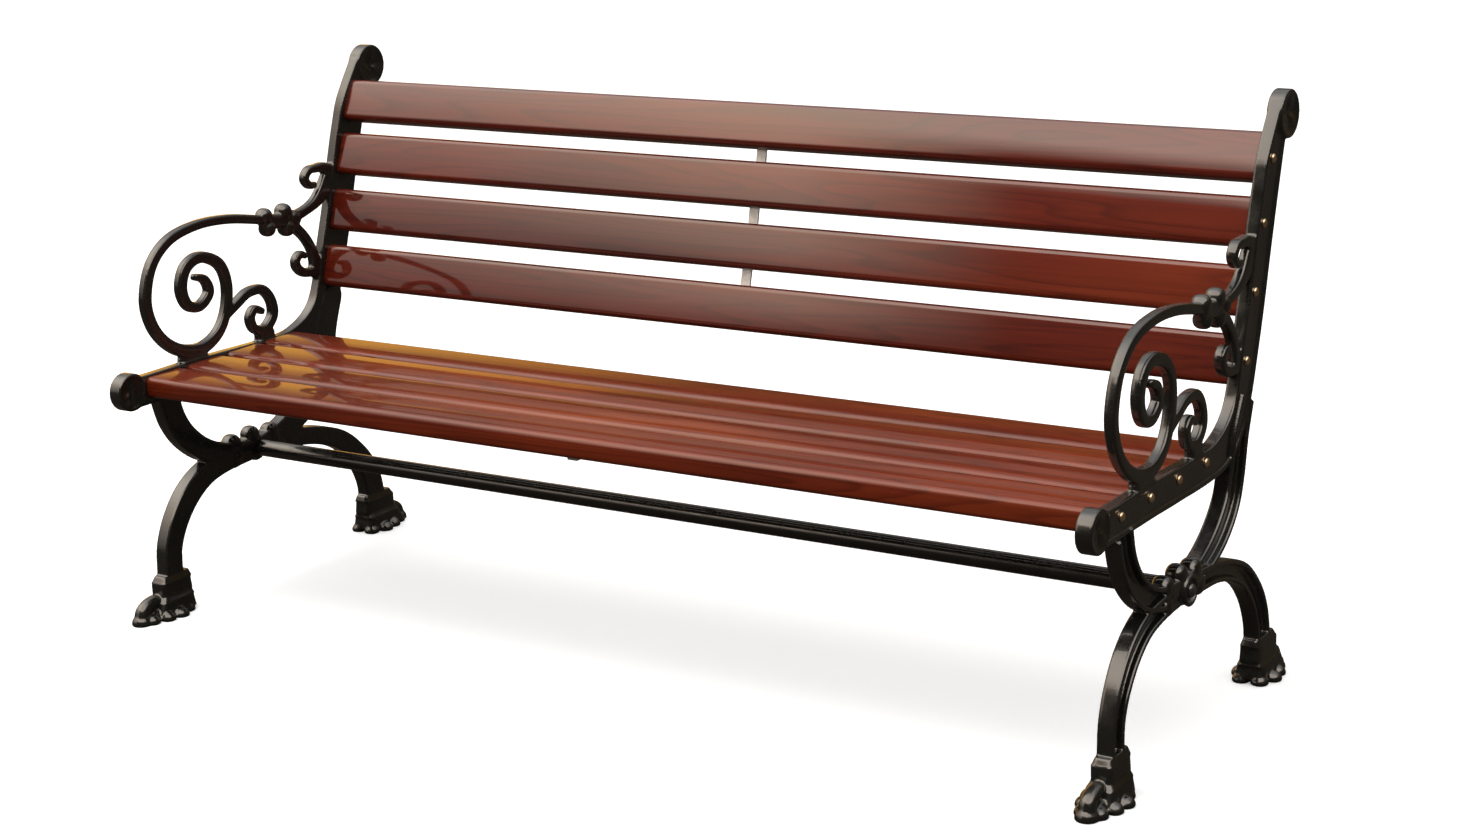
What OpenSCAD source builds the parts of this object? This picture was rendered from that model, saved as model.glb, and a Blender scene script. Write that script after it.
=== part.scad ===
// Park bench: two cast end frames joined by eight wooden slats and a stretcher tube.
// X runs along the bench, the sitter faces -Y and Z is up. The origin is on the floor, mid-bench.

/* [Overall] */
// Distance between the middle planes of the two end frames
frame_spacing = 1480; // [900:4:1800]
// Height of the seat slats' upper faces
seat_height = 356; // [352:1:359]

/* [Cast end frames] */
// Thickness of the legs, along the bench
leg_t = 22; // [18:1:26]
// Thickness of the seat rail and back upright
rail_t = 17; // [15:1:20]
// Thickness of the rail's web, which the slat bolts pass through
web_t = 14; // [8:1:15]
// Width of the raised rim round each hollow of the casting
rim_w = 7; // [5:1:9]
// Thickness of the scrolled armrest
arm_t = 14; // [10:1:16]
// Radius of the disc at the front of the seat rail
front_disc_r = 27; // [22:1:27]
// Radius of the disc on top of the back upright
top_disc_r = 31; // [28:1:32]
// Thickness of both discs
disc_t = 21; // [18:1:24]
// Thickness of the knot where the legs meet
knot_t = 26; // [24:1:34]

/* [Feet] */
// Length of a foot, front to back
foot_l = 106; // [100:1:114]
// Width of a foot, along the bench
foot_w = 70; // [64:1:76]
// Thickness of the lobed sole
sole_t = 8; // [6:1:10]

/* [Slats] */
// Width of a seat slat
seat_slat_w = 73; // [60:1:74]
// Thickness of a seat slat
seat_slat_t = 30; // [22:1:32]
// Distance from one seat slat to the next
seat_pitch = 82; // [80:0.5:83]
// Width of a back slat
back_slat_w = 63; // [54:1:64]
// Thickness of a back slat
back_slat_t = 28; // [22:1:29]
// Radius of the slats' long edges
slat_edge_r = 8; // [4:0.5:9]

/* [Stretcher] */
// Outer diameter of the tube between the end frames
tube_d = 25; // [18:1:26]
// Wall thickness of the tube
tube_wall = 2; // [1.5:0.5:3]
// Thread diameter of the bolts that hold the tube
tube_bolt_d = 8; // [6:1:10]

/* [Straps and fasteners] */
// Width of the steel straps that tie the slats at mid-length
strap_w = 15; // [14:1:25]
// Thickness of the straps
strap_t = 3; // [2:0.5:4]
// Thread diameter of the slat bolts
bolt_d = 6; // [5:1:7]
// Diameter of the slat bolts' domed heads
bolt_head_d = 12; // [10:1:14]
// Diameter of the strap screws
screw_d = 4; // [3:0.5:5]

/* [Hidden] */
$fn = 48;
// Sides of the casting's small lobes and rings, which are only nearly round
lobe_fn = 32;

iron = [0.07, 0.07, 0.07];
back_wood = [0.42, 0.18, 0.12];
seat_wood = [0.52, 0.22, 0.10];
brass = [0.78, 0.58, 0.32];
steel = [0.75, 0.75, 0.74];

frame_x = frame_spacing / 2;
// Slats and tube butt on the frames' inner faces
slat_l = 2 * (frame_x - rail_t / 2);
tube_l = 2 * (frame_x - knot_t / 2);

// The casting is drawn in its side view, [y, z], with y from the front disc and z from the floor.
front_disc = [2, 341];
top_disc = [561, 729];
// Each foot's ankle: its middle, its length, and how far the sole's middle sits towards the toe
front_ankle = [52, 56, 27];
rear_ankle = [507, 64, 15];
front_y = min(front_disc[0] - front_disc_r, front_ankle[0] - front_ankle[2] - foot_l / 2);
rear_y = top_disc[0] + top_disc_r;
mid_y = (front_y + rear_y) / 2;
stretcher_at = [248, 199];
// Cast ring round each tube bolt's head, standing out from the knot
ring_r = 20;
ring_wall = 6;
ring_h = 4;
knot_lobe_r = 14;
knot_lobes = [[197, 217], [238, 220], [280, 215], [197, 193], [245, 193], [292, 192]];
// Middle and size of the flat block under the knot's lobes, and under the collar's beads
knot_block = [[245, 205], [90, 24]];
collar_block = [[337, 525], [58, 26]];
// Middle and size of the two blocks that join the scrolls to the seat rail
scroll_necks = [[[134, 361], [42, 18]], [[287, 361], [26, 18]]];

// Curved bars of the casting: each row is y, z and the bar's width there.
arm_scroll = [
    [376, 522, 16], [333, 525, 14], [283, 537, 14], [222, 548, 14], [162, 550, 14],
    [106, 539, 15], [68, 510, 16], [51, 465, 17], [57, 428, 17], [78, 398, 17],
    [111, 377, 19], [152, 371, 19], [188, 386, 17], [209, 416, 16], [215, 455, 16],
    [201, 487, 17], [164, 503, 17], [134, 493, 18], [122, 465, 18], [132, 439, 16],
    [156, 433, 15], [177, 449, 15], [170, 469, 13], [152, 476, 10]
];
small_scroll = [
    [206, 408, 14], [232, 421, 15], [257, 432, 15], [287, 431, 15], [305, 412, 15],
    [307, 388, 16], [287, 371, 15], [265, 376, 14], [258, 393, 14], [268, 405, 12],
    [283, 399, 10]
];
upper_branch = [[369, 525, 17], [396, 531, 15], [418, 539, 18], [437, 552, 25], [451, 568, 29]];
upper_curl = [
    [458, 580, 24], [441, 589, 16], [425, 590, 13], [409, 589, 12], [400, 578, 12],
    [408, 567, 11], [419, 566, 10]
];
lower_branch = [[366, 513, 17], [388, 493, 15], [403, 471, 15], [409, 451, 18], [408, 434, 20]];
lower_curl = [
    [410, 439, 17], [396, 436, 14], [380, 439, 14], [368, 449, 13], [367, 460, 12],
    [377, 467, 11], [386, 463, 9]
];
collar_beads = [[306, 538, 12], [311, 518, 12], [348, 537, 13], [352, 512, 13], [366, 524, 13]];
front_leg = [
    [51, 40, 36], [51, 71, 34], [55, 101, 34], [71, 134, 35], [98, 165, 36],
    [135, 187, 34], [178, 195, 30], [232, 199, 30]
];
rear_leg = [
    [502, 40, 44], [500, 71, 40], [489, 103, 38], [468, 133, 34], [435, 162, 31],
    [394, 180, 29], [344, 192, 28], [283, 197, 30]
];
front_branch = [
    [71, 304, 40], [81, 283, 38], [102, 251, 36], [137, 223, 34], [182, 207, 30], [232, 201, 30]
];
rear_branch = [
    [436, 393, 40], [416, 349, 46], [404, 303, 48], [391, 271, 47], [364, 243, 44],
    [329, 222, 38], [289, 208, 32], [253, 201, 30]
];

// Seat rail and back upright in one: the edge under the sitter, then the edge behind.
inner_edge = [
    [4, 364], [30, 359], [152, 359], [303, 356], [354, 364], [388, 384], [406, 414],
    [422, 467], [445, 536], [465, 606], [480, 652], [495, 689], [532, 743]
];
outer_edge = [
    [4, 315], [30, 316], [152, 315], [323, 313], [384, 321], [424, 346], [451, 388],
    [469, 435], [489, 495], [508, 561], [530, 633], [551, 697], [562, 720]
];

// Seat slats run from the front back, back slats from the seat up.
first_seat_y = 66;
seat_ys = [for (i = [0 : 3]) first_seat_y + i * seat_pitch];
// Each back slat's middle, y and z, and its lean from upright
back_slats = [[438, 439, 17], [463, 521, 18], [488, 603, 21], [515, 680, 27]];

// Lobes of one half of the sole: x as a share of its width, y from its middle, and radius
sole_lobes = [[0.15, -27, 11], [0.28, -5, 11], [0.32, 18, 12], [0.18, 40, 12]];
toe_r = 14;
toe_h = 12;
// The ankle widens twice on its way down to the sole: height above the ground and thickness
ankle_top = [56, 24];
ankle_foot = [24, 34];
ankle_step = 6;

bolt_head_h = 4;
bolt_reach = 20;
bolt_play = 1;
insert_d = 10;
insert_l = 24;
screw_head_d = 9;
screw_head_h = 2.5;
screw_l = 18;
plug_l = 25;
tube_bolt_head_d = 18;
tube_bolt_head_h = 8;

// ---- Curves ----

// Point at t, from 0 to 1, on the smooth curve from b to c, with neighbours a and d
function between(a, b, c, d, t) =
    0.5 * (2 * b + (c - a) * t + (2 * a - 5 * b + 4 * c - d) * t * t
        + (3 * b - a - 3 * c + d) * t * t * t);
curve_steps = 4;
function smooth(p) = [
    for (i = [0 : len(p) - 2])
        for (k = [0 : curve_steps - 1])
            between(p[max(i - 1, 0)], p[i], p[i + 1], p[min(i + 2, len(p) - 1)], k / curve_steps),
    p[len(p) - 1]
];
function reversed(p) = [for (i = [len(p) - 1 : -1 : 0]) p[i]];
function heading(path, i) = path[min(i + 1, len(path) - 1)] - path[max(i - 1, 0)];
// Point half a width to one side of a bar's middle line
function beside(path, i, side) =
    let (h = heading(path, i))
    [path[i][0], path[i][1]] + side * path[i][2] / 2 * [-h[1], h[0]] / norm([h[0], h[1]]);

// A curved bar of changing width with round ends
module bar(points) {
    path = smooth(points);
    last = len(path) - 1;
    polygon([
        for (i = [0 : last]) beside(path, i, 1),
        for (i = [last : -1 : 0]) beside(path, i, -1)
    ]);
    for (p = [path[0], path[last]])
        translate([p[0], p[1]]) circle(d = p[2], $fn = lobe_fn);
}

// Stands a side-view outline up, from x_from to x_to across the frame's middle plane
module stand(x_from, x_to) {
    translate([x_from, -mid_y, 0])
        rotate([90, 0, 90]) linear_extrude(x_to - x_from) children();
}
module plate(t) { stand(-t / 2, t / 2) children(); }

// Places children at a side-view point, with +Z turned to point along +X
module along_x(at, x) {
    translate([x, at[0] - mid_y, at[1]]) rotate([0, 90, 0]) children();
}

// ---- End frame ----

module rail_outline() {
    polygon(concat(smooth(inner_edge), reversed(smooth(outer_edge))));
}

module leg_outline() {
    offset(r = -6) offset(delta = 6) {
        bar(front_leg);
        bar(rear_leg);
        bar(front_branch);
        bar(rear_branch);
    }
}

module arm_outline() {
    bar(arm_scroll);
    bar(small_scroll);
    bar(upper_branch);
    bar(upper_curl);
    bar(lower_branch);
    bar(lower_curl);
    for (neck = scroll_necks)
        translate(neck[0]) square(neck[1], center = true);
}

// A plate hollowed on its outer side, with a rim left all round the hollow
module rimmed(t, floor_t) {
    difference() {
        plate(t) children();
        stand(floor_t - t / 2, t) offset(delta = -rim_w) children();
    }
}

// Lobed sole: a toe, and lobes down both sides to the heel
module sole() {
    square([foot_w / 2, foot_l - 4 * toe_r], center = true);
    translate([0, toe_r - foot_l / 2]) circle(toe_r);
    for (lobe = sole_lobes)
        for (s = [-1, 1])
            translate([s * lobe[0] * foot_w, lobe[1]]) circle(lobe[2], $fn = lobe_fn);
}

// Foot with its toe pointing along -Y
module foot(ankle_l, toe_shift) {
    translate([0, -toe_shift, 0]) {
        linear_extrude(sole_t) sole();
        translate([0, toe_r - foot_l / 2, sole_t]) cylinder(h = toe_h, r1 = toe_r - 1, r2 = toe_r - 6);
    }
    translate([-ankle_top[1] / 2, -ankle_l / 2, 0]) cube([ankle_top[1], ankle_l, ankle_top[0]]);
    translate([-ankle_foot[1] / 2, -ankle_l / 2 - ankle_step, 0])
        cube([ankle_foot[1], ankle_l + ankle_step, ankle_foot[0]]);
}

module knot() {
    plate(knot_t)
        for (p = knot_lobes)
            translate(p) circle(knot_lobe_r, $fn = lobe_fn);
    plate(knot_t) translate(knot_block[0]) square(knot_block[1], center = true);
    stand(0, knot_t / 2 + ring_h) translate(stretcher_at) difference() {
        circle(ring_r, $fn = lobe_fn);
        circle(ring_r - ring_wall, $fn = lobe_fn);
    }
}

module collar() {
    plate(arm_t + 10)
        for (p = collar_beads)
            translate([p[0], p[1]]) circle(p[2], $fn = lobe_fn);
    plate(arm_t + 4) translate(collar_block[0]) square(collar_block[1], center = true);
}

// The casting with its outer side towards +X
module end_frame() {
    color(iron)
    difference() {
        union() {
            rimmed(rail_t, web_t) rail_outline();
            rimmed(leg_t, leg_t / 2) leg_outline();
            plate(arm_t) arm_outline();
            collar();
            knot();
            plate(disc_t) translate(front_disc) circle(front_disc_r);
            plate(disc_t) translate(top_disc) circle(top_disc_r);
            translate([0, front_ankle[0] - mid_y, 0]) foot(front_ankle[1], front_ankle[2]);
            translate([0, rear_ankle[0] - mid_y, 0]) mirror([0, 1, 0]) foot(rear_ankle[1], rear_ankle[2]);
        }
        for (p = slat_bolt_points())
            along_x(p, -leg_t) cylinder(d = bolt_d + bolt_play, h = 2 * leg_t);
        along_x(stretcher_at, -knot_t) cylinder(d = tube_bolt_d + bolt_play, h = 2 * knot_t);
    }
}

function seat_points() = [for (y = seat_ys) [y, seat_height - seat_slat_t / 2]];
function back_points() = [for (s = back_slats) [s[0], s[1]]];
function slat_bolt_points() = concat(seat_points(), back_points());

// ---- Slats ----

// A slat lying along X, its wide faces up and down, bored at both ends and piloted below
module slat(w, t) {
    difference() {
        rotate([90, 0, 90]) translate([0, 0, -slat_l / 2]) linear_extrude(slat_l) {
            square([w - 2 * slat_edge_r, t], center = true);
            square([w, t - 2 * slat_edge_r], center = true);
            for (y = [-1, 1])
                for (z = [-1, 1])
                    translate([y * (w / 2 - slat_edge_r), z * (t / 2 - slat_edge_r)])
                        circle(slat_edge_r);
        }
        for (s = [0, 180])
            rotate([0, 0, s]) translate([slat_l / 2 - insert_l, 0, 0])
                rotate([0, 90, 0]) cylinder(d = insert_d, h = 2 * insert_l);
        translate([0, 0, -t / 2 - 1]) cylinder(d = screw_d, h = screw_l - strap_t + 1);
    }
}

module on_seat(i) {
    translate([0, seat_ys[i] - mid_y, seat_height - seat_slat_t / 2]) children();
}

// The slat's underside turns to face back
module on_back(i) {
    s = back_slats[i];
    translate([0, s[0] - mid_y, s[1]]) rotate([90 - s[2], 0, 0]) children();
}

module seat_slat(i) { color(seat_wood) on_seat(i) slat(seat_slat_w, seat_slat_t); }
module back_slat(i) { color(back_wood) on_back(i) slat(back_slat_w, back_slat_t); }

// ---- Stretcher ----

module stretcher_tube() {
    color(iron)
    difference() {
        along_x(stretcher_at, -tube_l / 2) cylinder(d = tube_d, h = tube_l);
        along_x(stretcher_at, -tube_l) cylinder(d = tube_d - 2 * tube_wall, h = 2 * tube_l);
    }
}

module stretcher_end_plugs() {
    color(steel)
    for (x = [-tube_l / 2, tube_l / 2 - plug_l])
        difference() {
            along_x(stretcher_at, x) cylinder(d = tube_d - 2 * tube_wall, h = plug_l);
            along_x(stretcher_at, -tube_l) cylinder(d = tube_bolt_d, h = 2 * tube_l);
        }
}

// A domed bolt, its head above z = 0 and its shank below
module bolt(shank_d, shank_l, head_d, head_h) {
    rim_h = head_h / 4;
    dome_h = head_h - rim_h;
    dome_r = (head_d * head_d / 4 + dome_h * dome_h) / (2 * dome_h);
    cylinder(d = head_d, h = rim_h);
    intersection() {
        translate([0, 0, head_h - dome_r]) sphere(dome_r);
        translate([0, 0, rim_h / 2]) cylinder(d = head_d, h = head_h);
    }
    translate([0, 0, -shank_l]) cylinder(d = shank_d, h = shank_l + rim_h / 2);
}

module stretcher_bolt() {
    color(iron) along_x(stretcher_at, frame_x + knot_t / 2)
        bolt(tube_bolt_d, knot_t + plug_l, tube_bolt_head_d, tube_bolt_head_h);
}

// ---- Straps ----

// Rear face of a back slat at s along its lean, pushed out by a depth
function behind(b, s, out) =
    [b[0], b[1]] + s * [sin(b[2]), cos(b[2])] + (back_slat_t / 2 + out) * [cos(b[2]), -sin(b[2])];
function strap_side(out) = [
    for (b = back_slats)
        for (s = [-back_slat_w / 2 + slat_edge_r, back_slat_w / 2 - slat_edge_r])
            behind(b, s, out)
];

module back_strap() {
    color(steel) difference() {
        plate(strap_w) polygon(concat(strap_side(0), reversed(strap_side(strap_t))));
        for (i = [0 : 3])
            on_back(i) translate([0, 0, -back_slat_t]) cylinder(d = screw_d, h = back_slat_t);
    }
}

module seat_strap() {
    reach = 3 * seat_pitch + seat_slat_w - 2 * slat_edge_r;
    under = seat_height - seat_slat_t - strap_t;
    color(steel) difference() {
        translate([-strap_w / 2, seat_ys[0] - seat_slat_w / 2 + slat_edge_r - mid_y, under])
            cube([strap_w, reach, strap_t]);
        for (i = [0 : 3])
            on_seat(i) translate([0, 0, -seat_slat_t]) cylinder(d = screw_d, h = seat_slat_t);
    }
}

// A pan-head screw driven up through a strap into the slat above it
module strap_screw(slat_t) {
    translate([0, 0, -slat_t / 2 - strap_t]) {
        cylinder(d = screw_d, h = screw_l);
        translate([0, 0, -screw_head_h])
            cylinder(d1 = screw_head_d - 3, d2 = screw_head_d, h = screw_head_h);
    }
}
module seat_strap_screws() { color(steel) for (i = [0 : 3]) on_seat(i) strap_screw(seat_slat_t); }
module back_strap_screws() { color(steel) for (i = [0 : 3]) on_back(i) strap_screw(back_slat_t); }

// ---- Slat bolts and the threaded inserts in the slats' ends ----

module slat_bolts(points) {
    color(brass) for (p = points)
        along_x(p, frame_x - rail_t / 2 + web_t) bolt(bolt_d, web_t + bolt_reach, bolt_head_d, bolt_head_h);
}

module inserts(points) {
    color(brass) for (p = points)
        along_x(p, slat_l / 2 - insert_l) difference() {
            cylinder(d = insert_d, h = insert_l);
            translate([0, 0, -1]) cylinder(d = bolt_d, h = insert_l + 2);
        }
}

module on_left() { mirror([1, 0, 0]) children(); }

translate([-frame_x, 0, 0]) on_left() end_frame();  // left_end_frame
translate([frame_x, 0, 0]) end_frame();  // right_end_frame
seat_slat(0);  // seat_slat_1
seat_slat(1);  // seat_slat_2
seat_slat(2);  // seat_slat_3
seat_slat(3);  // seat_slat_4
back_slat(0);  // back_slat_1
back_slat(1);  // back_slat_2
back_slat(2);  // back_slat_3
back_slat(3);  // back_slat_4
stretcher_tube();
stretcher_end_plugs();
on_left() stretcher_bolt();  // left_stretcher_bolt
stretcher_bolt();  // right_stretcher_bolt
back_strap();
back_strap_screws();
seat_strap();
seat_strap_screws();
on_left() slat_bolts(seat_points());  // left_seat_bolts
slat_bolts(seat_points());  // right_seat_bolts
on_left() slat_bolts(back_points());  // left_back_bolts
slat_bolts(back_points());  // right_back_bolts
on_left() inserts(seat_points());  // left_seat_inserts
inserts(seat_points());  // right_seat_inserts
on_left() inserts(back_points());  // left_back_inserts
inserts(back_points());  // right_back_inserts
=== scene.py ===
"""Park bench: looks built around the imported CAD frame.

Each cast end frame is modelled as rounded bars, plates and lobes that are melted into one skin,
the eight varnished slats as eased boards, and the bolts as small turned pieces. The tube, its
plugs, the straps, the screws and the inserts keep the frame's own meshes under new materials.
"""

import math
import random

import bmesh
import bpy
from mathutils import Matrix, Vector, noise

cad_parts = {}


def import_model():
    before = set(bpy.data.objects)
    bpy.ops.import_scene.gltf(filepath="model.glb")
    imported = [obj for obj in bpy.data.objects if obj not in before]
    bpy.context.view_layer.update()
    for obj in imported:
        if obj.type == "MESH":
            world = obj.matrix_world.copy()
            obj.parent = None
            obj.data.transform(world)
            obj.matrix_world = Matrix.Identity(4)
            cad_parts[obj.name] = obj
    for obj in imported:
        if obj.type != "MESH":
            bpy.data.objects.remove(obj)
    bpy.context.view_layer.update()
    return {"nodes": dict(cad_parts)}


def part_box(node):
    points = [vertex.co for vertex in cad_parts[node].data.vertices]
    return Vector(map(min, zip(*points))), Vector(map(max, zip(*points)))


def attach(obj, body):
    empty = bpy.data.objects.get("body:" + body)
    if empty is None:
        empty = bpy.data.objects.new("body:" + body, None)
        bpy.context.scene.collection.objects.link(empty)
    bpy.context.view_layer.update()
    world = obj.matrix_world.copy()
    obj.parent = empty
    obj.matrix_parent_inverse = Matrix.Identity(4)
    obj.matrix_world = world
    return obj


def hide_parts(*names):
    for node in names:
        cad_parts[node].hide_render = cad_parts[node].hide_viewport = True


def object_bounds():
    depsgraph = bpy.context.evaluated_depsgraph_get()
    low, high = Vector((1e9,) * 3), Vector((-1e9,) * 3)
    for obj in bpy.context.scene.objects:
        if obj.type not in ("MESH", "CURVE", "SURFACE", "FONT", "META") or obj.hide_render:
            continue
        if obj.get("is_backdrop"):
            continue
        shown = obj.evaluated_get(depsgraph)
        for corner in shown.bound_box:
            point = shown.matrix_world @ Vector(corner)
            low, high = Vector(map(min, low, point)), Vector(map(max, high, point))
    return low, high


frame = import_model()

MM = 0.001

# ---- The casting's side view, in millimetres: y from the front disc, z from the ground ----

frame_low, frame_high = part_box("right_end_frame")
TOP_DISC = (561, 729, 31)
FRONT_DISC = (2, 341, 27)
MID_Y = TOP_DISC[0] + TOP_DISC[2] - frame_high.y / MM
FRAME_X = (frame_low.x + frame_high.x) / 2 / MM

ARM_SCROLL = [
    (376, 522, 16), (333, 525, 14), (283, 537, 14), (222, 548, 14), (162, 550, 14),
    (106, 539, 15), (68, 510, 16), (51, 465, 17), (57, 428, 17), (78, 398, 17),
    (111, 377, 19), (152, 371, 19), (188, 386, 17), (209, 416, 16), (215, 455, 16),
    (201, 487, 17), (164, 503, 17), (134, 493, 18), (122, 465, 18), (132, 439, 16),
    (156, 433, 15), (177, 449, 15), (170, 469, 13), (152, 476, 10),
]
SMALL_SCROLL = [
    (206, 408, 14), (232, 421, 15), (257, 432, 15), (287, 431, 15), (305, 412, 15),
    (307, 388, 16), (287, 371, 15), (265, 376, 14), (258, 393, 14), (268, 405, 12),
    (283, 399, 10),
]
UPPER_BRANCH = [
    (369, 525, 17), (396, 531, 15), (418, 539, 18), (437, 552, 25), (451, 568, 29),
]
UPPER_CURL = [
    (458, 580, 24), (441, 589, 16), (425, 590, 13), (409, 589, 12), (400, 578, 12),
    (408, 567, 11), (419, 566, 10),
]
LOWER_BRANCH = [
    (366, 513, 17), (388, 493, 15), (403, 471, 15), (409, 451, 18), (408, 434, 20),
]
LOWER_CURL = [
    (410, 439, 17), (396, 436, 14), (380, 439, 14), (368, 449, 13), (367, 460, 12),
    (377, 467, 11), (386, 463, 9),
]
COLLAR_BEADS = [(306, 538, 12), (311, 518, 12), (348, 537, 13), (352, 512, 13), (366, 524, 13)]
COLLAR_BAR = [(309, 528, 26), (330, 526, 22), (350, 524, 26)]
# Where the two scrolls join the seat rail
SCROLL_NECKS = [[(114, 361, 18), (134, 361, 18), (154, 361, 18)], [(276, 361, 18), (298, 361, 18)]]
FRONT_LEG = [
    (51, 30, 36), (51, 71, 34), (55, 101, 34), (71, 134, 35), (98, 165, 36),
    (135, 187, 34), (178, 195, 30), (232, 199, 30),
]
REAR_LEG = [
    (502, 30, 44), (500, 71, 40), (489, 103, 38), (468, 133, 34), (435, 162, 31),
    (394, 180, 29), (344, 192, 28), (283, 197, 30),
]
FRONT_BRANCH = [
    (71, 318, 40), (81, 283, 38), (102, 251, 36), (137, 223, 34), (182, 207, 30), (232, 201, 30)
]
REAR_BRANCH = [
    (436, 393, 40), (416, 349, 46), (404, 303, 48), (391, 271, 47), (364, 243, 44),
    (329, 222, 38), (289, 208, 32), (253, 201, 30),
]
INNER_EDGE = [
    (4, 364), (30, 359), (152, 359), (303, 356), (354, 364), (388, 384), (406, 414),
    (422, 467), (445, 536), (465, 606), (480, 652), (495, 689), (532, 743),
]
OUTER_EDGE = [
    (4, 315), (30, 316), (152, 315), (323, 313), (384, 321), (424, 346), (451, 388),
    (469, 435), (489, 495), (508, 561), (530, 633), (551, 697), (562, 720),
]
KNOT_LOBES = [
    (197, 217), (238, 220), (280, 215), (197, 193), (245, 193), (292, 192)
]
KNOT_LOBE_R = 14
KNOT_BAR = [(204, 205, 22), (245, 206, 24), (286, 204, 22)]
STRETCHER_AT = (248, 199)
# Each ankle: its middle, its length, how far the sole sits towards the toe, and the toe's side
ANKLES = [(52, 56, 27, -1), (507, 64, 15, 1)]
# Side lobes of a sole: x as a share of its width, y from its middle, and radius
SOLE_LOBES = [(0.15, -27, 11), (0.28, -5, 11), (0.32, 18, 12), (0.18, 40, 12)]
FOOT_W = 70
FOOT_L = 106

# Half the thickness of each part of the casting, across the frame
LEG_HALF = 11
RAIL_HALF = 8.5
ARM_HALF = 7
COLLAR_HALF = 12
COLLAR_BAR_HALF = 9
KNOT_HALF = 13
DISC_HALF = 10.5
# How far out the hollows' floors lie in the rail and the legs, and the width of the rims round them
WEB_OUTSIDE = 5.5
LEG_WEB_OUTSIDE = 1
RIM_W = 7
# Cast ring round the stretcher bolt: radius to the middle of its wall, half the wall
RING_R = 17
RING_WALL = 3.2

# Grain of the skin that joins the casting's solids, in metres, then how it is softened and thinned
SKIN_VOXEL = 0.0015
SOFTEN_ROUNDS = 2
CASTING_TRIANGLES = 190000

# Sides of a swept bar's or a lobe's section
ROUND = 28


# ---- Curves ----

def smooth(points, steps=6):
    """A Catmull-Rom curve through the points, whatever numbers each point holds."""
    out = []
    last = len(points) - 1
    for i in range(last):
        a, b = points[max(i - 1, 0)], points[i]
        c, d = points[i + 1], points[min(i + 2, last)]
        for k in range(steps):
            t = k / steps
            out.append(tuple(
                0.5 * (2 * q + (r - p) * t + (2 * p - 5 * q + 4 * r - s) * t * t
                       + (3 * q - p - 3 * r + s) * t ** 3)
                for p, q, r, s in zip(a, b, c, d)
            ))
    out.append(tuple(points[last]))
    return out


def headings(path):
    """The unit direction of the path at each of its points, in the y, z plane."""
    out = []
    for i in range(len(path)):
        a, b = path[max(i - 1, 0)], path[min(i + 1, len(path) - 1)]
        d = Vector((b[0] - a[0], b[1] - a[1]))
        out.append(d.normalized())
    return out


def beside(path, inset):
    """The curve along one edge of a bar, inset from it: + is the left edge, - the right."""
    out = []
    for p, h in zip(path, headings(path)):
        reach = math.copysign(p[2] / 2 - abs(inset), inset)
        out.append((p[0] - h.y * reach, p[1] + h.x * reach))
    return out


# ---- Closed solids in a bmesh: u runs outwards across the frame, then y and z ----

def place(bm, u, y, z):
    return bm.verts.new((u * MM, (y - MID_Y) * MM, z * MM))


def skin(bm, rings):
    """Joins rings of vertices into a closed tube with its two ends capped."""
    n = len(rings[0])
    for a, b in zip(rings, rings[1:]):
        for k in range(n):
            bm.faces.new((a[k], a[(k + 1) % n], b[(k + 1) % n], b[k]))
    bm.faces.new(list(reversed(rings[0])))
    bm.faces.new(rings[-1])


def rounded(power, count):
    """Points round a superellipse: power 2 is a circle, and more is squarer."""
    out = []
    for k in range(count):
        a = 2 * math.pi * k / count
        out.append(tuple(
            math.copysign(abs(c) ** (2 / power), c) for c in (math.cos(a), math.sin(a))
        ))
    return out


def bar(bm, points, u_from, u_to, power):
    """A bar with round ends, swept along a side-view curve of y, z and width."""
    path = smooth(points)
    dirs = headings(path)
    mid_u, half_u = (u_from + u_to) / 2, (u_to - u_from) / 2
    section = rounded(power, ROUND)

    def station(p, h, angle=0):
        """The section at p, or past it on the round end, at an angle from the bar's end plane."""
        a = math.radians(angle)
        half_w = p[2] / 2
        along, grow = math.sin(a) * half_w, math.cos(a)
        y, z = p[0] + h.x * along, p[1] + h.y * along
        return [
            place(bm, mid_u + su * half_u * grow, y - h.y * sw * half_w * grow,
                  z + h.x * sw * half_w * grow)
            for su, sw in section
        ]

    end_angles = (20, 40, 60, 80)
    rings = [station(path[0], dirs[0], -angle) for angle in reversed(end_angles)]
    rings += [station(p, h) for p, h in zip(path, dirs)]
    rings += [station(path[-1], dirs[-1], angle) for angle in end_angles]
    skin(bm, rings)


def slab(bm, outline, u_from, u_to):
    """A flat plate with the side-view outline given."""
    skin(bm, [[place(bm, u, y, z) for y, z in outline] for u in (u_from, u_to)])


def bead(bm, y, z, r, half_u):
    """A fat lens with its axis across the frame."""
    power, rows = 2.6, 12
    rings = []
    for k in range(1, rows):
        a = math.pi * k / rows - math.pi / 2
        grow = abs(math.cos(a)) ** (2 / power)
        u = half_u * math.copysign(abs(math.sin(a)) ** (2 / power), math.sin(a))
        rings.append([
            place(bm, u, y + r * grow * math.cos(t), z + r * grow * math.sin(t))
            for t in (2 * math.pi * i / ROUND for i in range(ROUND))
        ])
    skin(bm, rings)


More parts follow.
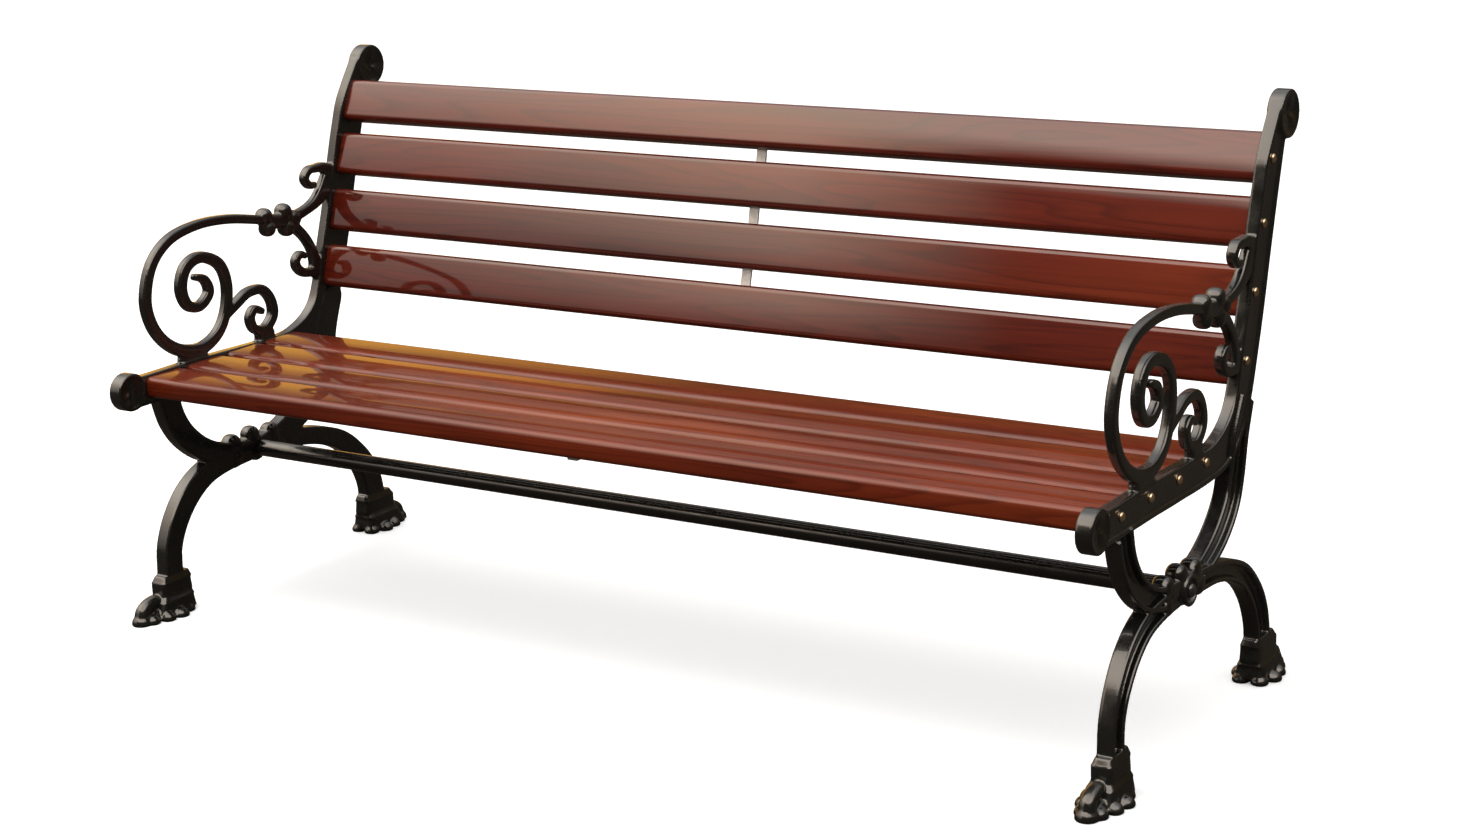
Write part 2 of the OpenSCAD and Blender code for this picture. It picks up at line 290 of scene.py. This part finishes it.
def disc(bm, y, z, r, half_u):
    """A round boss with a rim and three ridges that meet in the dish on each face."""
    rim_r = r - 4
    dish = 6
    ridges = [math.radians(a) for a in (75, 215, 320)]
    ridge_spread, ridge_rise = 0.85, 0.75
    count = 48

    def depth(radius, angle):
        t = radius / rim_r
        if t > 1:
            return 0
        near = min(abs((angle - a + math.pi) % (2 * math.pi) - math.pi) for a in ridges)
        ridge = max(0, 1 - near / ridge_spread)
        return dish * math.cos(t * math.pi / 2) ** 0.6 * (1 - ridge_rise * ridge * min(1, t * 2.5))

    radii = [0.4, 3, 6, 9, 12, 15, 18, 21, 23]
    radii = [q for q in radii if q < rim_r] + [rim_r, rim_r + 1.5, r - 1, r]
    rings = []
    for side in (-1, 1):
        part = []
        for radius in radii:
            row = []
            for i in range(count):
                a = 2 * math.pi * i / count
                edge = 1.0 if radius >= r else 0
                u = side * (half_u - depth(radius, a) - edge)
                row.append(place(bm, u, y + radius * math.cos(a), z + radius * math.sin(a)))
            part.append(row)
        rings += part if side < 0 else list(reversed(part))
    skin(bm, rings)


def ring(bm, y, z, r, wall, u):
    """A rounded ring about the outward axis, r to the middle of its wall."""
    around, section = 40, 14
    rows = []
    for i in range(around):
        a = 2 * math.pi * i / around
        rows.append([
            place(bm, u + wall * math.sin(t), y + (r + wall * math.cos(t)) * math.cos(a),
                  z + (r + wall * math.cos(t)) * math.sin(a))
            for t in (2 * math.pi * k / section for k in range(section))
        ])
    for i in range(around):
        near, far = rows[i], rows[(i + 1) % around]
        for k in range(section):
            bm.faces.new((near[k], near[(k + 1) % section], far[(k + 1) % section], far[k]))


def block(bm, y_from, y_to, z_from, z_to, half_from, half_to, lean):
    """A block with soft corners. Its half thickness and its two ends change from bottom to top."""
    section = rounded(7, 32)
    rings = []
    for t in (0, 0.25, 0.5, 0.75, 1):
        y0, y1 = y_from + lean[0] * t, y_to + lean[1] * t
        half = half_from + (half_to - half_from) * t
        rings.append([
            place(bm, su * half, (y0 + y1) / 2 + sy * (y1 - y0) / 2, z_from + (z_to - z_from) * t)
            for su, sy in section
        ])
    skin(bm, rings)


def foot(bm, ankle_y, ankle_l, shift, toe):
    """A lobed sole, a curled toe and an ankle that widens in two steps."""
    def at(y):
        return ankle_y + toe * y

    # A sloped shoulder, an upright band, a second shoulder and the flare into the sole. Each row
    # is its top and bottom, its half thickness there, and its reach to the front there as a share.
    steps = [
        (60, 50, 11.0, 14.5, 0.44, 0.54),
        (51, 31, 14.5, 14.5, 0.54, 0.54),
        (32, 24, 14.5, 18.5, 0.54, 0.64),
        (25, 6, 18.5, 21.0, 0.64, 0.78),
    ]
    for top, bottom, half_top, half_bottom, reach_top, reach_bottom in steps:
        front_top, front_bottom = reach_top * ankle_l, reach_bottom * ankle_l
        back_top, back_bottom = ankle_l / 2 - 1, ankle_l / 2 + 2
        lo_b, hi_b = sorted((at(front_bottom), at(-back_bottom)))
        lo_t, hi_t = sorted((at(front_top), at(-back_top)))
        block(bm, lo_b, hi_b, bottom, top, half_bottom, half_top, (lo_t - lo_b, hi_t - hi_b))
    # Lobes down both sides of the sole, then the toe and three along its middle
    for share, y, r in SOLE_LOBES:
        for s in (-1, 1):
            petal(bm, s * share * FOOT_W, at(shift - y), r, 13)
    for y, r, height in ((FOOT_L / 2 - 15, 15, 16), (-22, 17, 15), (0, 20, 19), (18, 15, 20)):
        petal(bm, 0, at(shift + y), r, height)
    # The curl over the toe
    curl = [(12, 27, 20), (24, 25, 20), (35, 19, 20), (40, 12, 16)]
    bar(bm, [(at(shift + y), z, w) for y, z, w in curl], -10, 10, power=2.4)


def petal(bm, u, y, r, height):
    """One lobe of the sole: flat below, domed above."""
    count = 24
    rings = []
    profile = [(0.92, 0), (1.0, 1.5), (1.0, 4), (0.93, 0.5 * height), (0.75, 0.75 * height),
               (0.45, 0.93 * height), (0.12, height)]
    for share, z in profile:
        rings.append([
            place(bm, u + r * share * math.cos(t), y + r * share * math.sin(t), z)
            for t in (2 * math.pi * i / count for i in range(count))
        ])
    skin(bm, rings)


def leg(bm, points):
    """A web with a raised rounded rim along both edges of its outer side."""
    bar(bm, points, -LEG_HALF, LEG_WEB_OUTSIDE, power=8)
    path = smooth(points)
    for side in (1, -1):
        edge = [(y, z, RIM_W) for y, z in beside(path, side * RIM_W / 2)]
        bar_on(bm, edge, -LEG_HALF, LEG_HALF)


def bar_on(bm, path, u_from, u_to):
    """A rim with blunt ends along a path that is already smooth."""
    section = rounded(5, 20)
    mid_u, half_u = (u_from + u_to) / 2, (u_to - u_from) / 2
    rings = []
    for p, h in zip(path, headings(path)):
        rings.append([
            place(bm, mid_u + su * half_u, p[0] - h.y * sw * p[2] / 2, p[1] + h.x * sw * p[2] / 2)
            for su, sw in section
        ])
    skin(bm, rings)


def rail(bm):
    """The seat rail and back upright in one: a web with a rim along both edges."""
    inner, outer = smooth(INNER_EDGE), smooth(OUTER_EDGE)
    slab(bm, inner + list(reversed(outer)), -RAIL_HALF, WEB_OUTSIDE)
    for edge, side in ((inner, -1), (outer, 1)):
        reach = side * RIM_W / 2
        rim = [
            (p[0] - h.y * reach, p[1] + h.x * reach, RIM_W) for p, h in zip(edge, headings(edge))
        ]
        bar_on(bm, rim, -RAIL_HALF, RAIL_HALF)


def casting_mesh():
    """One end frame with its outer side towards +X, about the frame's own middle plane."""
    bm = bmesh.new()
    rail(bm)
    for points in (FRONT_LEG, REAR_LEG, FRONT_BRANCH, REAR_BRANCH):
        leg(bm, points)
    for points in (ARM_SCROLL, SMALL_SCROLL, UPPER_BRANCH, UPPER_CURL, LOWER_BRANCH, LOWER_CURL):
        bar(bm, points, -ARM_HALF, ARM_HALF, power=4.6)
    for points in SCROLL_NECKS:
        bar(bm, points, -ARM_HALF, ARM_HALF, power=6)
    for y, z, r in COLLAR_BEADS:
        bead(bm, y, z, r, COLLAR_HALF)
    bar(bm, COLLAR_BAR, -COLLAR_BAR_HALF, COLLAR_BAR_HALF, power=4)
    for y, z in KNOT_LOBES:
        bead(bm, y, z, KNOT_LOBE_R, KNOT_HALF)
    bar(bm, KNOT_BAR, 1 - KNOT_HALF, KNOT_HALF - 1, power=4)
    ring(bm, *STRETCHER_AT, RING_R, RING_WALL, KNOT_HALF + 0.8)
    for y, z, r in (TOP_DISC, FRONT_DISC):
        disc(bm, y, z, r, DISC_HALF)
    for ankle in ANKLES:
        foot(bm, *ankle)
    bmesh.ops.recalc_face_normals(bm, faces=bm.faces)
    mesh = bpy.data.meshes.new("casting")
    bm.to_mesh(mesh)
    bm.free()
    return mesh


def apply_modifiers(obj):
    """Replaces the object's mesh by the result of its modifiers."""
    depsgraph = bpy.context.evaluated_depsgraph_get()
    mesh = bpy.data.meshes.new_from_object(obj.evaluated_get(depsgraph))
    obj.modifiers.clear()
    obj.data = mesh
    return mesh


def melt(mesh, voxel, rounds, faces):
    """Joins overlapping solids into one skin, softens it like a casting and thins it out."""
    obj = bpy.data.objects.new("melting", mesh)
    bpy.context.scene.collection.objects.link(obj)
    remesh = obj.modifiers.new("skin", "REMESH")
    remesh.mode = "VOXEL"
    remesh.voxel_size = voxel
    soften = obj.modifiers.new("soften", "SMOOTH")
    soften.factor = 0.5
    soften.iterations = rounds
    result = apply_modifiers(obj)
    count = len(result.polygons) * 2
    if count > faces:
        thin = obj.modifiers.new("thin", "DECIMATE")
        thin.ratio = faces / count
        result = apply_modifiers(obj)
    bpy.data.objects.remove(obj)
    return result


def new_piece(name, mesh, material, *nodes, sharp=None):
    """Makes a piece of the bench: it rides on the bench's one body and stands for the CAD nodes."""
    obj = bpy.data.objects.new(name, mesh)
    bpy.context.scene.collection.objects.link(obj)
    mesh.materials.clear()
    mesh.materials.append(material)
    mesh.shade_smooth()
    if sharp is not None:
        mesh.set_sharp_from_angle(angle=math.radians(sharp))
    if nodes:
        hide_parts(*nodes)
    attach(obj, "root")
    return obj


# ---- Materials ----

def nodes_of(name):
    material = bpy.data.materials.new(name)
    material.use_nodes = True
    tree = material.node_tree
    shader = tree.nodes["Principled BSDF"]
    return material, tree, shader


def add(tree, kind, **values):
    node = tree.nodes.new(kind)
    for key, value in values.items():
        if hasattr(node, key):
            setattr(node, key, value)
        else:
            node.inputs[key.replace("_", " ")].default_value = value
    return node


def ramp(tree, source, *stops):
    node = tree.nodes.new("ShaderNodeValToRGB")
    while len(node.color_ramp.elements) < len(stops):
        node.color_ramp.elements.new(0.5)
    for element, (place_at, colour) in zip(node.color_ramp.elements, stops):
        element.position = place_at
        element.color = (*colour, 1)
    tree.links.new(source, node.inputs["Fac"])
    return node


def grey(value):
    return (value, value, value)


def mixed(tree, factor, first, second, mode="MIX"):
    """A colour mix. The factor and both colours are sockets or plain values."""
    node = add(tree, "ShaderNodeMix", data_type="RGBA", blend_type=mode)
    for place_in, value in zip((0, 6, 7), (factor, first, second)):
        if isinstance(value, bpy.types.NodeSocket):
            tree.links.new(value, node.inputs[place_in])
        else:
            node.inputs[place_in].default_value = value
    return node.outputs[2]


def times(tree, socket, amount):
    node = add(tree, "ShaderNodeMath", operation="MULTIPLY")
    node.inputs[1].default_value = amount
    tree.links.new(socket, node.inputs[0])
    return node.outputs["Value"]


def painted_iron(name, tint=(0.006, 0.006, 0.005)):
    """Gloss black paint over a sand casting: slight orange peel, soft dents, worn sheen."""
    material, tree, shader = nodes_of(name)
    coords = add(tree, "ShaderNodeTexCoord")
    broad = add(tree, "ShaderNodeTexNoise", Scale=14, Detail=3)
    peel = add(tree, "ShaderNodeTexNoise", Scale=420, Detail=2)
    dents = add(tree, "ShaderNodeTexNoise", Scale=55, Detail=3)
    for node in (broad, peel, dents):
        tree.links.new(coords.outputs["Object"], node.inputs["Vector"])
    colour = ramp(tree, broad.outputs["Fac"], (0.3, tint), (0.75, tuple(2.1 * c for c in tint)))
    tree.links.new(colour.outputs["Color"], shader.inputs["Base Color"])
    rough = ramp(tree, dents.outputs["Fac"], (0.3, grey(0.16)), (0.75, grey(0.34)))
    tree.links.new(rough.outputs["Color"], shader.inputs["Roughness"])
    bump_a = add(tree, "ShaderNodeBump", Strength=0.14, Distance=0.0012)
    bump_b = add(tree, "ShaderNodeBump", Strength=0.06, Distance=0.0003)
    tree.links.new(dents.outputs["Fac"], bump_a.inputs["Height"])
    tree.links.new(peel.outputs["Fac"], bump_b.inputs["Height"])
    tree.links.new(bump_a.outputs["Normal"], bump_b.inputs["Normal"])
    tree.links.new(bump_b.outputs["Normal"], shader.inputs["Normal"])
    shader.inputs["Coat Weight"].default_value = 0.6
    shader.inputs["Coat Roughness"].default_value = 0.08
    return material


def varnished_pine(name, seed, dark, mid, light, knots=1.0, coat=1.0):
    """Red-stained pine under gloss varnish. The grain runs along the board's own X.

    knots says how dark the knots are, and coat how much varnish lies over the stain.
    """
    material, tree, shader = nodes_of(name)
    draw = random.Random(seed)
    coords = add(tree, "ShaderNodeTexCoord")
    shift = add(tree, "ShaderNodeMapping")
    shift.inputs["Location"].default_value = [draw.uniform(-3, 3) for _ in range(3)]
    tree.links.new(coords.outputs["Object"], shift.inputs["Vector"])

    def stretched(scale, **values):
        stretch = add(tree, "ShaderNodeMapping")
        stretch.inputs["Scale"].default_value = scale
        tree.links.new(shift.outputs["Vector"], stretch.inputs["Vector"])
        node = add(tree, "ShaderNodeTexNoise", **values)
        tree.links.new(stretch.outputs["Vector"], node.inputs["Vector"])
        return node

    # Growth rings: a slow field whose level lines give the long flames of flat-sawn pine
    field = stretched((1.1, 16, 16), Scale=1, Detail=1.5, Distortion=0.25)
    saw = add(tree, "ShaderNodeMath", operation="FRACT")
    tree.links.new(times(tree, field.outputs["Fac"], 16), saw.inputs[0])
    late = ramp(tree, saw.outputs["Value"], (0.0, grey(0)), (0.55, grey(0.25)), (0.86, grey(1)),
                (0.97, grey(0.1)))
    streaks = stretched((2.5, 130, 130), Scale=1, Detail=4, Roughness=0.65)
    fibre = stretched((14, 900, 900), Scale=1, Detail=2)
    patches = stretched((1.6, 6, 6), Scale=1, Detail=2)

    base = ramp(tree, patches.outputs["Fac"], (0.3, dark), (0.55, mid), (0.75, light))
    tint = ramp(tree, late.outputs["Color"], (0.0, (1, 1, 1)), (1.0, (0.42, 0.33, 0.28)))
    lined = mixed(tree, 0.62, base.outputs["Color"], tint.outputs["Color"], "MULTIPLY")
    streak_tint = ramp(tree, streaks.outputs["Fac"], (0.35, (0.55, 0.48, 0.44)), (0.62, (1, 1, 1)))
    streaked = mixed(tree, 0.55, lined, streak_tint.outputs["Color"], "MULTIPLY")

    # Knots: rare dark ovals
    oval = add(tree, "ShaderNodeMapping")
    oval.inputs["Scale"].default_value = (2.2, 9, 9)
    tree.links.new(shift.outputs["Vector"], oval.inputs["Vector"])
    cells = add(tree, "ShaderNodeTexVoronoi", Scale=1)
    tree.links.new(oval.outputs["Vector"], cells.inputs["Vector"])
    knot = ramp(tree, cells.outputs["Distance"], (0.03, grey(1)), (0.075, grey(0.7)),
                (0.12, grey(0)))
    knot_colour = (*(c * 0.35 for c in dark), 1)
    knotted = mixed(tree, times(tree, knot.outputs["Color"], knots), streaked, knot_colour)
    tree.links.new(knotted, shader.inputs["Base Color"])

    rough = ramp(tree, streaks.outputs["Fac"], (0.3, grey(0.34)), (0.7, grey(0.48)))
    tree.links.new(rough.outputs["Color"], shader.inputs["Roughness"])
    waves = stretched((5, 22, 22), Scale=1, Detail=2)
    bump_a = add(tree, "ShaderNodeBump", Strength=0.12, Distance=0.0012)
    bump_b = add(tree, "ShaderNodeBump", Strength=0.10, Distance=0.0004)
    tree.links.new(waves.outputs["Fac"], bump_a.inputs["Height"])
    tree.links.new(fibre.outputs["Fac"], bump_b.inputs["Height"])
    tree.links.new(bump_a.outputs["Normal"], bump_b.inputs["Normal"])
    tree.links.new(bump_b.outputs["Normal"], shader.inputs["Normal"])
    tree.links.new(bump_a.outputs["Normal"], shader.inputs["Coat Normal"])
    shader.inputs["Coat Weight"].default_value = coat
    shader.inputs["Coat Roughness"].default_value = 0.05
    shader.inputs["Specular IOR Level"].default_value = 0.12
    return material


def metal(name, colour, low, high):
    """Bare metal with fine uneven polish: its roughness runs from low to high."""
    material, tree, shader = nodes_of(name)
    coords = add(tree, "ShaderNodeTexCoord")
    fine = add(tree, "ShaderNodeTexNoise", Scale=500, Detail=3)
    broad = add(tree, "ShaderNodeTexNoise", Scale=90, Detail=3)
    for node in (fine, broad):
        tree.links.new(coords.outputs["Object"], node.inputs["Vector"])
    tone = ramp(tree, broad.outputs["Fac"], (0.3, tuple(0.72 * c for c in colour)), (0.7, colour))
    tree.links.new(tone.outputs["Color"], shader.inputs["Base Color"])
    rough = ramp(tree, fine.outputs["Fac"], (0.3, grey(low)), (0.7, grey(high)))
    tree.links.new(rough.outputs["Color"], shader.inputs["Roughness"])
    bump = add(tree, "ShaderNodeBump", Strength=0.15, Distance=0.0002)
    tree.links.new(fine.outputs["Fac"], bump.inputs["Height"])
    tree.links.new(bump.outputs["Normal"], shader.inputs["Normal"])
    shader.inputs["Metallic"].default_value = 1.0
    return material


# ---- Slats ----

# Width and thickness, radius of the long edges, and each back slat's lean from upright
SEAT_SIZE = (73, 30)
BACK_SIZE = (63, 28)
EDGE_R = 8
BACK_LEAN = (17, 18, 21, 27)
# The boards' faces wave by this much, and are planed down by this share to leave room for it
WAVE = 0.175
PLANED = 0.012
# The ends are eased over this length
END_EASE = 3


def board_mesh(name, length, width, thickness, seed):
    """A board along X with eased edges, very slightly wavy as planed wood is."""
    bm = bmesh.new()
    corner = 6
    profile = []
    for sy, sz, start in ((1, 1, 0), (-1, 1, 90), (-1, -1, 180), (1, -1, 270)):
        for k in range(corner + 1):
            a = math.radians(start + 90 * k / corner)
            profile.append((sy * (width / 2 - EDGE_R) + EDGE_R * math.cos(a),
                            sz * (thickness / 2 - EDGE_R) + EDGE_R * math.sin(a)))
    spans = 60
    eased = [(s, 1 - (1 - s / END_EASE) ** 2 * 0.02) for s in (0, 0.6, 1.6, END_EASE)]
    stations = list(eased)
    stations += [(length * k / spans, 1) for k in range(1, spans)]
    stations += [(length - s, grow) for s, grow in reversed(eased)]
    rings = []
    for s, grow in stations:
        row = []
        for y, z in profile:
            lift = WAVE * noise.noise(Vector((s * 0.006 + seed * 7.3, y * 0.03, z * 0.03 + seed)))
            row.append(bm.verts.new((
                (s - length / 2) * MM, y * grow * MM, (z * grow * (1 - PLANED) + lift) * MM
            )))
        rings.append(row)
    skin(bm, rings)
    bmesh.ops.recalc_face_normals(bm, faces=bm.faces)
    mesh = bpy.data.meshes.new(name)
    bm.to_mesh(mesh)
    bm.free()
    return mesh


def slat(node, size, lean, seed, material):
    """A slat at its CAD node's middle, leaning back from flat by lean degrees."""
    low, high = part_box(node)
    mesh = board_mesh(node, (high.x - low.x) / MM, size[0], size[1], seed)
    obj = bpy.data.objects.new(node + "_board", mesh)
    bpy.context.scene.collection.objects.link(obj)
    obj.matrix_world = (Matrix.Translation((low + high) / 2)
                        @ Matrix.Rotation(math.radians(lean), 4, "X"))
    mesh.materials.append(material)
    mesh.shade_smooth()
    mesh.set_sharp_from_angle(angle=math.radians(50))
    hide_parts(node)
    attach(obj, "root")
    return obj


# ---- Turned pieces ----

def turned(profile, centre, side):
    """A bmesh turned about X through the centre. Profile rows are distance outwards, radius."""
    bm = bmesh.new()
    rings = []
    for out, r in profile:
        rings.append([
            bm.verts.new((centre.x + side * out * MM, centre.y + r * MM * math.cos(t),
                          centre.z + r * MM * math.sin(t)))
            for t in (2 * math.pi * k / 32 for k in range(32))
        ])
    skin(bm, rings)
    bmesh.ops.recalc_face_normals(bm, faces=bm.faces)
    return bm


def joined(name, parts):
    """One mesh out of several bmeshes."""
    whole = bmesh.new()
    for part in parts:
        scratch = bpy.data.meshes.new("scratch")
        part.to_mesh(scratch)
        part.free()
        whole.from_mesh(scratch)
        bpy.data.meshes.remove(scratch)
    mesh = bpy.data.meshes.new(name)
    whole.to_mesh(mesh)
    whole.free()
    return mesh


def slat_centres(kind):
    """The middles of the four seat or back slats, which the bolts are in line with."""
    out = []
    for i in range(1, 5):
        low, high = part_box(f"{kind}_slat_{i}")
        out.append((low + high) / 2)
    return out


def slat_bolts(side_name, side, kind, material):
    """The four domed bolts through one end frame into the seat's or the back's slats."""
    node = f"{side_name}_{kind}_bolts"
    low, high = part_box(node)
    reach = high.x - low.x
    tip = side * max(abs(low.x), abs(high.x))
    profile = [(-reach / MM, 2.0), (-reach / MM + 1, 3), (-4.1, 3), (-4, 5.4), (-3.7, 5.9),
               (-3.0, 6), (-2.0, 5.7), (-1.1, 4.7), (-0.45, 3.3), (-0.1, 1.7), (0, 0.3)]
    parts = []
    for centre in slat_centres(kind):
        parts.append(turned(profile, Vector((tip, centre.y, centre.z)), side))
    piece = new_piece(f"{node}_domed", joined(node, parts), material, node, sharp=40)


def stretcher_bolt(side_name, side, material):
    """The domed bolt through one end frame's knot into the tube."""
    node = f"{side_name}_stretcher_bolt"
    low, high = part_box(node)
    centre = (low + high) / 2
    tip = Vector((side * max(abs(low.x), abs(high.x)), centre.y, centre.z))
    reach = (high.x - low.x) / MM
    profile = [(-reach, 3.0), (-reach + 1.5, 4), (-8, 4), (-8, 8.6), (-7.4, 9), (-5.6, 9),
               (-4.0, 8.3), (-2.4, 6.8), (-1.1, 4.7), (-0.3, 2.4), (0, 0.4)]
    piece = new_piece(f"{node}_domed", joined(node, [turned(profile, tip, side)]), material, node,
                      sharp=40)


# ---- Camera ----

def camera():
    """The viewpoint: to the bench's right, a little above the back, tilted slightly."""
    azimuth, elevation, roll = (math.radians(a) for a in (32.68, 14.90, -2.00))
    back = Vector((math.sin(azimuth) * math.cos(elevation),
                   -math.cos(azimuth) * math.cos(elevation), math.sin(elevation)))
    right = Vector((math.cos(azimuth), math.sin(azimuth), 0))
    up = back.cross(right)
    right_rolled = math.cos(roll) * right + math.sin(roll) * up
    up_rolled = -math.sin(roll) * right + math.cos(roll) * up
    data = bpy.data.cameras.new("camera")
    data.sensor_width = 36
    data.lens = 64.89
    obj = bpy.data.objects.new("camera", data)
    bpy.context.scene.collection.objects.link(obj)
    turn = Matrix((right_rolled, up_rolled, back)).transposed().to_4x4()
    place_at = Vector((1.9445, -2.595 - MID_Y * MM, 1.2446))
    obj.matrix_world = Matrix.Translation(place_at) @ turn
    bpy.context.scene.camera = obj


# ---- Stage and light ----

def floor():
    """Plain paper, white to the eye and dark in what the bench mirrors and gathers from below."""
    bm = bmesh.new()
    bmesh.ops.create_grid(bm, x_segments=8, y_segments=8, size=30)
    mesh = bpy.data.meshes.new("floor")
    bm.to_mesh(mesh)
    bm.free()
    obj = bpy.data.objects.new("floor", mesh)
    obj.location.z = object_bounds()[0][2]
    bpy.context.scene.collection.objects.link(obj)
    material, tree, shader = nodes_of("floor")
    shader.inputs["Roughness"].default_value = 1.0
    shader.inputs["Specular IOR Level"].default_value = 0
    path = add(tree, "ShaderNodeLightPath")
    seen = path.outputs["Is Camera Ray"]
    tone = mixed(tree, seen, (0.055, 0.042, 0.032, 1), (1, 1, 1, 1))
    tree.links.new(tone, shader.inputs["Base Color"])
    # The paper glows a little to the eye alone, which keeps its shadows faint
    tree.links.new(times(tree, seen, 0.3), shader.inputs["Emission Strength"])
    shader.inputs["Emission Color"].default_value = (1, 1, 1, 1)
    mesh.materials.append(material)
    obj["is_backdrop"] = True


def softbox(name, position, target, size, power):
    """A panel of light that no surface mirrors."""
    data = bpy.data.lights.new(name, "AREA")
    data.shape = "RECTANGLE"
    data.size, data.size_y = size
    data.energy = power
    obj = bpy.data.objects.new(name, data)
    bpy.context.scene.collection.objects.link(obj)
    obj.location = position
    aim = Vector(target) - Vector(position)
    obj.rotation_euler = aim.to_track_quat("-Z", "Y").to_euler()
    obj.visible_glossy = False


def world():
    """Overcast studio: bright overhead, dark low at the front, warm low at the rear left.

    What surfaces mirror and what lights them evenly are set apart, as with cards in a studio.
    """
    scene_world = bpy.data.worlds.new("studio")
    scene_world.use_nodes = True
    bpy.context.scene.world = scene_world
    tree = scene_world.node_tree
    link = tree.links.new
    coords = add(tree, "ShaderNodeTexCoord")
    split = add(tree, "ShaderNodeSeparateXYZ")
    link(coords.outputs["Generated"], split.inputs["Vector"])

    def spread(socket, low, high):
        node = add(tree, "ShaderNodeMapRange")
        node.inputs["From Min"].default_value = low
        node.inputs["From Max"].default_value = high
        link(socket, node.inputs["Value"])
        return node.outputs["Result"]

    def skyline(*stops):
        return ramp(tree, spread(split.outputs["Z"], 0, 1), *stops).outputs["Color"]

    def across(axis, near, far, one, other):
        """One colour until the direction's X or Y reaches near, and the other past far."""
        return mixed(tree, spread(split.outputs[axis], near, far), one, other)

    front = skyline((0.0, (0.030, 0.024, 0.018)), (0.53, (0.006, 0.005, 0.004)),
                    (0.62, (1.25, 1.08, 0.92)), (1.0, (0.95, 0.88, 0.80)))
    front_left = skyline((0.0, (0.05, 0.04, 0.03)), (0.16, (0.20, 0.17, 0.15)),
                         (0.33, (0.80, 0.66, 0.53)), (0.50, (1.20, 0.88, 0.67)),
                         (0.68, (1.38, 1.20, 0.92)), (1.0, (0.95, 0.88, 0.82)))
    far_left = skyline((0.0, (0.05, 0.04, 0.03)), (0.20, (0.24, 0.22, 0.20)),
                       (0.31, (0.37, 0.32, 0.28)), (0.50, (0.70, 0.58, 0.48)),
                       (0.66, (1.10, 1.00, 0.85)), (1.0, (0.95, 0.88, 0.82)))
    rear_left = skyline((0.0, (0.44, 0.22, 0.04)), (0.20, (0.39, 0.21, 0.04)),
                        (0.34, (0.06, 0.04, 0.03)), (1.0, grey(0.5)))
    rear = skyline((0.0, (0.014, 0.009, 0.004)), (0.20, (0.028, 0.018, 0.006)),
                   (0.34, (0.018, 0.013, 0.009)), (1.0, grey(0.4)))
    ahead = across("X", -0.44, -0.51, front, across("X", -0.53, -0.62, front_left, far_left))
    behind = across("X", -0.53, -0.64, rear, rear_left)
    mirrored = across("Y", -0.1, 0.35, ahead, behind)

    glossy = add(tree, "ShaderNodeBackground", Strength=4.0)
    link(mirrored, glossy.inputs["Color"])
    even = tree.nodes["Background"]
    even.inputs["Color"].default_value = (1.0, 0.99, 0.975, 1)
    even.inputs["Strength"].default_value = 0.92
    path = add(tree, "ShaderNodeLightPath")
    pick = add(tree, "ShaderNodeMixShader")
    link(path.outputs["Is Glossy Ray"], pick.inputs["Fac"])
    link(even.outputs["Background"], pick.inputs[1])
    link(glossy.outputs["Background"], pick.inputs[2])
    link(pick.outputs["Shader"], tree.nodes["World Output"].inputs["Surface"])


camera()
floor()
world()
softbox("overhead", (-0.8, -1.6, 4.2), (0, 0, 0.2), (3.6, 2.6), 110)
bpy.context.scene.view_settings.view_transform = "Standard"

iron = painted_iron("black_paint")
tube_paint = painted_iron("tube_paint")
bolt_paint = painted_iron("bolt_paint", (0.014, 0.014, 0.014))
brass = metal("dull_brass", (0.90, 0.68, 0.45), 0.25, 0.40)
zinc = metal("zinc", (0.66, 0.67, 0.68), 0.3, 0.45)

casting = melt(casting_mesh(), SKIN_VOXEL, SOFTEN_ROUNDS, CASTING_TRIANGLES)
for side_name, side in (("right", 1), ("left", -1)):
    mesh = casting.copy()
    place_frame = Matrix.Translation((side * FRAME_X * MM, 0, 0)) @ Matrix.Diagonal((side, 1, 1, 1))
    mesh.transform(place_frame)
    if side < 0:
        mesh.flip_normals()
    new_piece(f"{side_name}_casting", mesh, iron, f"{side_name}_end_frame")
    for kind in ("seat", "back"):
        slat_bolts(side_name, side, kind, brass)
    stretcher_bolt(side_name, side, bolt_paint)

for i in range(4):
    slat(f"seat_slat_{i + 1}", SEAT_SIZE, 0, 11 + i,
         varnished_pine(f"seat_pine_{i + 1}", 31 + i, (0.11, 0.012, 0.004), (0.19, 0.024, 0.006),
                        (0.30, 0.055, 0.012), knots=0.7, coat=0.6))
    slat(f"back_slat_{i + 1}", BACK_SIZE, 90 - BACK_LEAN[i], 21 + i,
         varnished_pine(f"back_pine_{i + 1}", 47 + i, (0.070, 0.006, 0.002), (0.12, 0.011, 0.003),
                        (0.20, 0.026, 0.006)))

KEPT = {
    "stretcher_tube": tube_paint, "stretcher_end_plugs": zinc, "back_strap": zinc,
    "back_strap_screws": zinc, "seat_strap": zinc, "seat_strap_screws": zinc,
    "left_seat_inserts": brass, "right_seat_inserts": brass,
    "left_back_inserts": brass, "right_back_inserts": brass,
}
for node, material in KEPT.items():
    mesh = frame["nodes"][node].data
    for i in range(len(mesh.materials)):
        mesh.materials[i] = material
